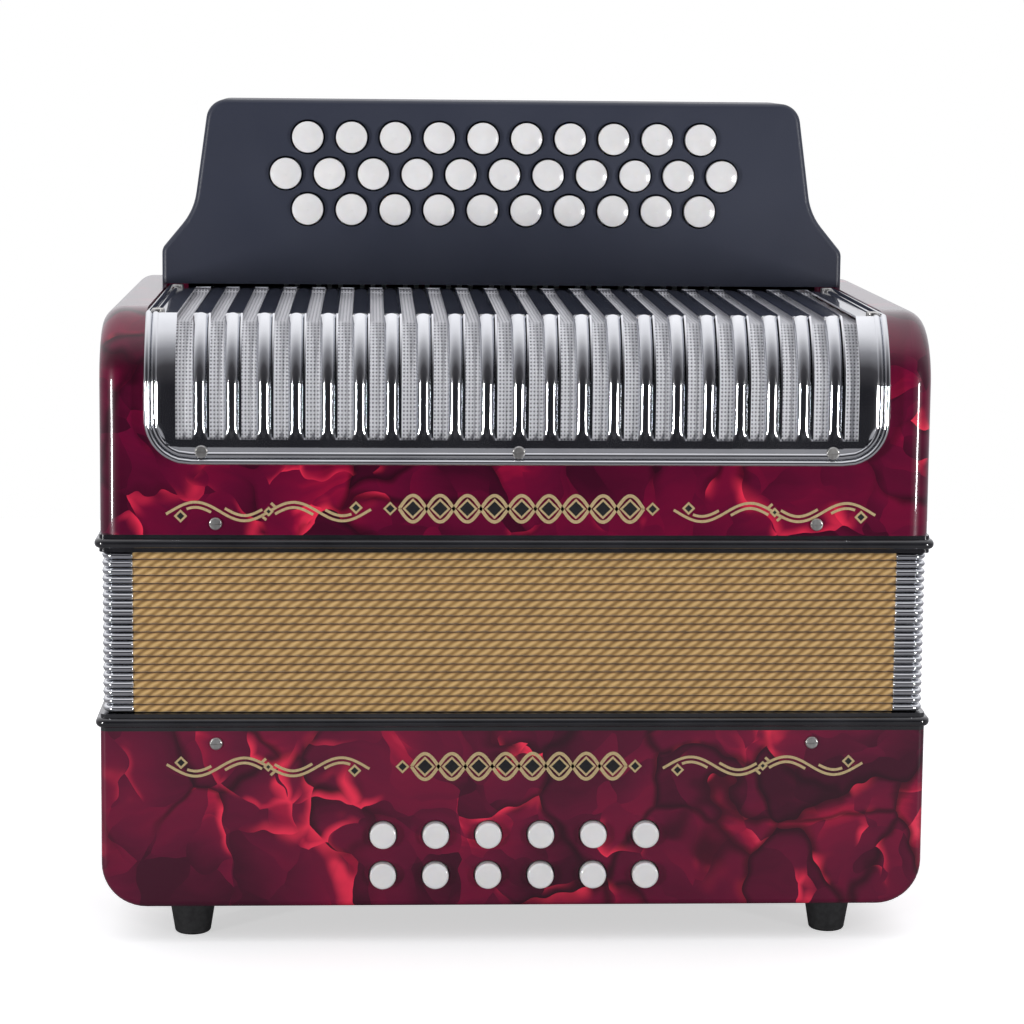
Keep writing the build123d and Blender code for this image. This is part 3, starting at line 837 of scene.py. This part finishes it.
def corner_pieces(z):
    """The four bright metal pieces round the corners of one fold."""
    section = half_round(1.95 * MM, 0.475 * FOLD_PITCH, 6)
    radius = CORNER_RADIUS
    arms = (CORNER_ARM - radius, CORNER_ARM - radius - 0.5 * MM, 5 * MM, 2 * MM)
    bend_steps = 6
    path = [(0.0, -arm, radius) for arm in arms]
    for index in range(bend_steps + 1):
        angle = math.pi / 2 * index / bend_steps
        path.append((angle, radius * math.sin(angle), radius * math.cos(angle)))
    path += [(math.pi / 2, radius, -arm) for arm in reversed(arms)]

    def ends_close(_distance, _angle, number):
        """Makes the section smaller at the two ends."""
        return 0.72 if number in (0, len(path) - 1) else 1.0

    parts = []
    for side_x in (-1, 1):
        for side_y in (-1, 1):
            centre = Vector(
                (side_x * (ROPE_HALF_X - radius), MIDDLE_Y + side_y * (ROPE_HALF_Y - radius), z)
            )
            stations = []
            for angle, out_x, out_y in path:
                point = centre + Vector((side_x * out_x, side_y * out_y, 0))
                outward = Vector((side_x * math.sin(angle), side_y * math.cos(angle), 0))
                stations.append((point, outward, angle))
            parts.append(swept(stations, section, ends_close))
    return join(parts)


def web_loop(inset, z):
    """One rounded rectangle of points round the folded card, at one height."""
    corner_steps = 4
    half_x = ROPE_HALF_X - inset
    half_y = ROPE_HALF_Y - inset
    radius = CORNER_RADIUS
    points = []
    for corner in range(4):
        side_x = 1 if corner in (0, 3) else -1
        side_y = 1 if corner in (0, 1) else -1
        for step in range(corner_steps + 1):
            angle = math.pi / 2 * (corner + step / corner_steps)
            points.append(
                (
                    side_x * (half_x - radius) + radius * math.cos(angle),
                    MIDDLE_Y + side_y * (half_y - radius) + radius * math.sin(angle),
                    z,
                )
            )
    return points


def make_fold_web():
    """The folded card between the cords: a zigzag tube of bands, each half a fold high."""
    levels = [(2.0 * MM, bellows_low.z)]
    for fold in range(FOLDS):
        if fold:
            levels.append((FOLD_DEPTH, bellows_low.z + fold * FOLD_PITCH))
        levels.append((1.0 * MM, bellows_low.z + (fold + 0.5) * FOLD_PITCH))
    levels.append((2.0 * MM, bellows_high.z))
    for number in range(len(levels) - 1):
        low_level, high_level = levels[number : number + 2]
        points = web_loop(*low_level) + web_loop(*high_level)
        faces = tube_faces(2, len(points) // 2)
        name = f"bellows_web_{number + 1:02d}"
        band = mesh_piece(name, points, faces, [FOLD_CARD], None)
        outward_faces(band)
        thicken(band, 0.4 * MM)
        shade(band, 30)
        stretch_with_bellows(band)
        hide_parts("bellows")


def make_bellows():
    """Twenty folds: each has a gold cord round it and a bright piece at each corner."""
    make_fold_web()
    for fold in range(FOLDS):
        z = bellows_low.z + (fold + 0.5) * FOLD_PITCH
        points, faces, flat = rope_runs(z, fold)
        name = f"bellows_cord_{fold + 1:02d}"
        rope = mesh_piece(name, points, faces, [ROPE], None, flat)
        outward_faces(rope)
        shade(rope, 80)
        follow_bellows(rope)
        points, faces, flat = corner_pieces(z)
        name = f"bellows_corners_{fold + 1:02d}"
        corners = mesh_piece(name, points, faces, [CHROME], None)
        outward_faces(corners)
        shade(corners, 60)
        follow_bellows(corners)


# ---------------------------------------------------------------- ornaments
PRINT_LIFT = 0.12 * MM
LINE_WIDTH = 1.0 * MM


def ribbon(path, width):
    """A flat line of one width along (x, z) points on the casing's front."""
    points = []
    for index, (x, z) in enumerate(path):
        before = path[max(index - 1, 0)]
        after = path[min(index + 1, len(path) - 1)]
        direction = Vector((after[0] - before[0], 0, after[1] - before[1])).normalized()
        side = Vector((-direction.z, 0, direction.x)) * width / 2
        centre = Vector((x, FRONT_Y - PRINT_LIFT, z))
        points += [centre - side, centre + side]
    return points, grid_faces(len(path), 2), []


def diamond(x, z, half):
    """A solid diamond."""
    points = []
    for quarter in range(4):
        angle = math.pi / 2 * quarter
        points.append(
            Vector((x + half * math.cos(angle), FRONT_Y - PRINT_LIFT * 1.5, z + half * math.sin(angle)))
        )
    return points, [(0, 1, 2, 3)], []


def diamond_frame(x, z, half, width):
    """An open diamond drawn with one line."""
    inner = half - width * math.sqrt(2)
    return diamond(x, z, half)[0] + diamond(x, z, inner)[0], tube_faces(2, 4), []


def wave(x_start, x_end, period, height, peak, shift=0.0):
    """Points of a wavy line about zero, moved sideways by shift."""
    count = max(8, int(abs(x_end - x_start) / (0.6 * MM)))
    path = []
    for index in range(count + 1):
        x = x_start + (x_end - x_start) * index / count
        turn = 2 * math.pi * (x - peak) / period
        slope = -height * 2 * math.pi / period * math.sin(turn)
        length = math.hypot(1.0, slope)
        path.append((x - slope / length * shift, height * math.cos(turn) + shift / length))
    return path


def scroll(centre_x, z, mirror, upright):
    """A double wavy line with three small diamonds, as gold and black parts."""
    period = 36.6 * MM
    height = 3.5 * MM
    peak = -27.3 * MM
    gap = 1.95 * MM
    lines = [wave(-38.2 * MM, 38.2 * MM, period, height, peak)]
    for start, end, side in ((-31.2, -20.5, -1), (-17.3, -1.4, 1), (1.4, 17.6, -1), (20.2, 31.6, 1)):
        lines.append(wave(start * MM, end * MM, period, height, peak, side * gap))
    lines.append([(0.9 * MM, 3.2 * MM), (2.4 * MM, 1.8 * MM)])
    lines.append([(-2.4 * MM, -1.8 * MM), (-0.9 * MM, -3.2 * MM)])
    gold = []
    for line in lines:
        gold.append(ribbon([(centre_x + mirror * x, z + upright * y) for x, y in line], LINE_WIDTH))
    ink = []
    for x, y, half in ((-32.8, -1.75, 2.5), (0.0, 0.0, 1.9), (32.6, 1.5, 2.5)):
        place_x = centre_x + mirror * x * MM
        place_z = z + upright * y * MM
        gold.append(diamond_frame(place_x, place_z, half * MM, 0.75 * MM))
        ink.append(diamond(place_x, place_z, (half - 1.1) * MM))
    return gold, ink


def braid(centre_x, z, loops, loop_length, height):
    """Two crossing wavy lines with a dark diamond in each loop: a plain centre ornament."""
    half = loops * loop_length / 2
    period = 2 * loop_length
    gold, ink = [], []
    for side in (-1, 1):
        line = wave(-half, half, period, side * height, -half + loop_length / 2)
        gold.append(ribbon([(centre_x + x, z + y) for x, y in line], 1.25 * MM))
    for index in range(loops):
        x = centre_x - half + (index + 0.5) * loop_length
        gold.append(diamond_frame(x, z, 3.9 * MM, 0.75 * MM))
        ink.append(diamond(x, z, 2.8 * MM))
    for side in (-1, 1):
        x = centre_x + side * (half + 3.4 * MM)
        gold.append(diamond_frame(x, z, 2.6 * MM, 0.7 * MM))
        ink.append(diamond(x, z, 1.5 * MM))
    return gold, ink


def make_ornaments(body, centre_z, offset_left, offset_right, upright, loops, lift):
    """The two side scrolls and the centre braid on one casing."""
    gold, ink = [], []
    for parts in (
        scroll(offset_left, centre_z, 1, upright),
        scroll(offset_right, centre_z, -1, upright),
        braid(1.5 * MM, centre_z + lift, loops, 10.2 * MM, 5.0 * MM),
    ):
        gold += parts[0]
        ink += parts[1]
    for name, parts, material in ((f"{body}_gold_lines", gold, GOLD), (f"{body}_dark_marks", ink, INK)):
        points, faces, _ = join(parts)
        lines = mesh_piece(name, points, faces, [material], body)
        for polygon in lines.data.polygons:
            if polygon.normal.y > 0:
                polygon.flip()
        thicken(lines, 0.1 * MM)


# ---------------------------------------------------------------- the hand strap
strap_low, strap_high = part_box("hand_strap")
STRAP_THICKNESS = 2.5 * MM
STRAP_FLAT_HALF = strap_high.x - 32 * MM
STITCH_LENGTH = 3.2 * MM
STITCH_GAP = 1.3 * MM
STITCH_RADIUS = 0.35 * MM


def strap_level(x):
    """The height of the strap's middle: it rises to the end plates at both ends."""
    rise = smooth((abs(x) - STRAP_FLAT_HALF + 4 * MM) / (24 * MM))
    travel = strap_high.z - strap_low.z - STRAP_THICKNESS
    return strap_low.z + STRAP_THICKNESS / 2 + travel * rise


def make_hand_strap():
    """The leather strap under the bass end, with rounded edges."""
    across = [-1.0, -0.985, -0.95, -0.9, -0.6, -0.3, 0.0, 0.3, 0.6, 0.9, 0.95, 0.985, 1.0]
    thick = [0.25, 0.6, 0.9, 1.0, 1.0, 1.0, 1.0, 1.0, 1.0, 1.0, 0.9, 0.6, 0.25]
    outline = [(share, part) for share, part in zip(across, thick)]
    outline += [(share, -part) for share, part in reversed(outline)]
    steps = 96
    points = []
    for index in range(steps + 1):
        x = strap_low.x + (strap_high.x - strap_low.x) * index / steps
        for share, part in outline:
            points.append((x, share * strap_high.y, strap_level(x) + part * STRAP_THICKNESS / 2))
    size = len(outline)
    faces = tube_faces(steps + 1, size) + end_faces(steps + 1, size)
    strap = mesh_piece("hand_strap_leather", points, faces, [STRAP], "bass_end")
    outward_faces(strap)
    shade(strap, 50)
    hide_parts("hand_strap")


def one_stitch(start_x, y):
    """One thread stitch on the strap's lower face; its two ends dip into the leather."""
    steps, sides = 4, 6
    points = []
    for index in range(steps + 1):
        x = start_x + STITCH_LENGTH * index / steps
        dip = 0.3 * MM if index in (0, steps) else 0.0
        z = strap_level(x) - STRAP_THICKNESS / 2 + 0.05 * MM + dip
        for corner in range(sides):
            angle = 2 * math.pi * corner / sides
            ring = Vector((0, STITCH_RADIUS * math.cos(angle), STITCH_RADIUS * math.sin(angle)))
            points.append(Vector((x, y, z)) + ring)
    faces = tube_faces(steps + 1, sides) + end_faces(steps + 1, sides)
    return points, faces, []


def make_stitches():
    """A row of stitches along each edge of the strap."""
    margin = 5 * MM
    parts = []
    for side in (-1, 1):
        x = strap_low.x + margin
        while x < strap_high.x - margin:
            parts.append(one_stitch(x, side * (strap_high.y - 3.5 * MM)))
            x += STITCH_LENGTH + STITCH_GAP
    points, faces, _ = join(parts)
    stitches = mesh_piece("hand_strap_stitches", points, faces, [THREAD], "bass_end")
    outward_faces(stitches)
    shade(stitches, 60)


# ---------------------------------------------------------------- finishes of the CAD nodes
def finish_node(name, material):
    """Gives a CAD node its finish."""
    node = NODES[name]
    node.data.materials.clear()
    node.data.materials.append(material)
    for polygon in node.data.polygons:
        polygon.material_index = 0


def finish_key(name):
    """A key's cap is white, its lever metal, its pallet wood and the pad under it leather."""
    node = NODES[name]
    mesh = node.data
    mesh.materials.clear()
    for material in (WHITE, LEVER, PALLET_WOOD, PALLET_LEATHER):
        mesh.materials.append(material)
    board_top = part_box("treble_action_board")[1].z
    pad_top = board_top + 3.05 * MM
    pallet_top = board_top + 7.1 * MM
    cap_back = board_low.y + 1.95 * MM
    for polygon in mesh.polygons:
        centre = polygon.center
        if centre.y < cap_back and centre.z > board_low.z:
            polygon.material_index = 0
        elif centre.z > pallet_top:
            polygon.material_index = 1
        elif centre.z > pad_top:
            polygon.material_index = 2
        else:
            polygon.material_index = 3


def finish_button(name, cap_depth, facing):
    """A plunger's cap is white or bright and its stem metal."""
    node = NODES[name]
    low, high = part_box(name)
    mesh = node.data
    mesh.materials.clear()
    cap_material = CHROME if name == "air_button" else WHITE
    for material in (cap_material, NICKEL):
        mesh.materials.append(material)
    outer = low.y if facing < 0 else high.y
    for polygon in mesh.polygons:
        deep = abs(polygon.center.y - outer) > cap_depth + 0.1 * MM
        polygon.material_index = 1 if deep else 0


def finish_cad():
    """Finishes for every CAD node that stays in view."""
    for name in ("bass_casing", "bass_end_cover", "treble_casing"):
        finish_node(name, PEARL)
    for name in ("bass_bellows_frame", "treble_bellows_frame"):
        finish_node(name, LACQUER)
    for name in ("bass_hardware", "treble_hardware"):
        finish_node(name, NICKEL)
    for name in ("bass_reed_assembly", "treble_reed_blocks", "treble_action_board"):
        finish_node(name, REED_WOOD)
    finish_node("fingerboard", BOARD_BLACK)
    finish_node("rubber_feet", RUBBER)
    for name in NODES:
        if name.startswith("treble_key"):
            finish_key(name)
        elif name.startswith("bass_button"):
            finish_button(name, 4.8 * MM, -1)
    finish_button("air_button", 5.0 * MM, 1)


# ---------------------------------------------------------------- the studio
def make_stage():
    """A plain pale table top; the lens sees it as bright as the backdrop."""
    size = 0.9
    points = [(-size, -size, 0.0), (size, -size, 0.0), (size, size, 0.0), (-size, size, 0.0)]
    floor = mesh_piece("studio_floor", points, [(0, 1, 2, 3)], [], None)
    material, tree, shader = new_material("studio_paper", Roughness=0.9)
    soft = noise(tree, place(tree), 3.0, 2.0)
    seen = add(tree, "LightPath").outputs["Is Camera Ray"]
    pale = ramp(tree, soft, [(0.0, (0.86, 0.86, 0.865)), (1.0, (0.89, 0.89, 0.89))])
    grey = (0.30, 0.30, 0.31, 1.0)
    colour = add(tree, "Mix", data_type="RGBA", i0=seen, i6=grey, i7=pale)
    tree.links.new(colour.outputs[2], shader.inputs["Base Color"])
    shader.inputs["Emission Color"].default_value = (1.0, 1.0, 1.0, 1.0)
    tree.links.new(math_node(tree, "MULTIPLY", seen, 0.55), shader.inputs["Emission Strength"])
    floor.data.materials.append(material)


def make_light(name, place_at, target, size_x, size_y, power):
    """A soft rectangular lamp turned to a target."""
    data = bpy.data.lights.new(name, "AREA")
    data.shape = "RECTANGLE"
    data.size = size_x
    data.size_y = size_y
    data.energy = power
    lamp = bpy.data.objects.new(name, data)
    bpy.context.scene.collection.objects.link(lamp)
    lamp.location = place_at
    lamp.rotation_euler = (Vector(target) - Vector(place_at)).to_track_quat("-Z", "Y").to_euler()


def make_lights():
    """A narrow strip lamp on each side, and a sky that is dark in front and bright above."""
    middle = (0.0, -0.05, 0.17)
    make_light("strip_left", (-1.30, -1.15, 0.05), middle, 0.15, 0.42, 17.0)
    make_light("strip_right", (1.22, -1.25, 0.05), middle, 0.14, 0.42, 15.0)
    world = bpy.data.worlds.new("studio_sky")
    bpy.context.scene.world = world
    world.use_nodes = True
    tree = world.node_tree
    way = add(tree, "SeparateXYZ", Vector=add(tree, "TexCoord").outputs["Generated"])
    in_front = math_node(tree, "MULTIPLY", way.outputs["Y"], 0.9)
    behind = math_node(tree, "MULTIPLY", way.outputs["Y"], 0.35)
    level = math_node(tree, "ADD", way.outputs["Z"], math_node(tree, "MINIMUM", in_front, behind))
    colour = ramp(
        tree,
        math_node(tree, "MULTIPLY_ADD", level, 0.5, 0.5),
        [
            (0.05, (0.020, 0.020, 0.024)),
            (0.30, (0.060, 0.058, 0.064)),
            (0.52, (0.300, 0.300, 0.320)),
            (0.78, (0.900, 0.900, 0.930)),
            (0.97, (1.150, 1.150, 1.180)),
        ],
    )
    dim = add(tree, "Background", Color=colour, Strength=1.0)
    bright = add(tree, "Background", Color=(1.0, 1.0, 1.0, 1.0), Strength=1.0)
    seen = add(tree, "LightPath").outputs["Is Camera Ray"]
    both = add(tree, "MixShader", i0=seen, i1=dim.outputs[0], i2=bright.outputs[0])
    tree.links.new(both.outputs[0], tree.nodes["World Output"].inputs["Surface"])


CAMERA_PLACE = (-0.0558, -1.1525, 0.3370)
CAMERA_YAW = 0.0491
CAMERA_PITCH = 0.1237
CAMERA_ROLL = -0.0097


def make_camera():
    """The camera: a little left of the middle, above the grille, looking slightly down."""
    data = bpy.data.cameras.new("camera")
    camera = bpy.data.objects.new("camera", data)
    bpy.context.scene.collection.objects.link(camera)
    bpy.context.scene.camera = camera
    yaw, pitch, roll = CAMERA_YAW, CAMERA_PITCH, CAMERA_ROLL
    right = Vector((math.cos(yaw), -math.sin(yaw), 0))
    forward = Vector(
        (math.sin(yaw) * math.cos(pitch), math.cos(yaw) * math.cos(pitch), -math.sin(pitch))
    )
    up = right.cross(forward)
    turned_right = right * math.cos(roll) - up * math.sin(roll)
    turned_up = right * math.sin(roll) + up * math.cos(roll)
    axes = Matrix((turned_right, turned_up, -forward)).transposed()
    camera.matrix_world = Matrix.Translation(CAMERA_PLACE) @ axes.to_4x4()
    data.lens = 100.6
    data.sensor_width = 36.0
    data.shift_x = 0.0032
    data.shift_y = -0.10
    data.clip_start = 0.01
    data.clip_end = 50.0


make_camera()
finish_cad()
make_grille()
make_grille_cloth()
make_bellows()
make_ornaments("treble_end", casing_low.z + 8.9 * MM, -93.2 * MM, 97.0 * MM, 1, 9, 1.2 * MM)
make_ornaments("bass_end", bass_high.z - 13.8 * MM, -93.4 * MM, 94.5 * MM, -1, 8, 0.0)
make_hand_strap()
make_stitches()
make_stage()
make_lights()
bpy.context.scene.view_settings.view_transform = "Standard"
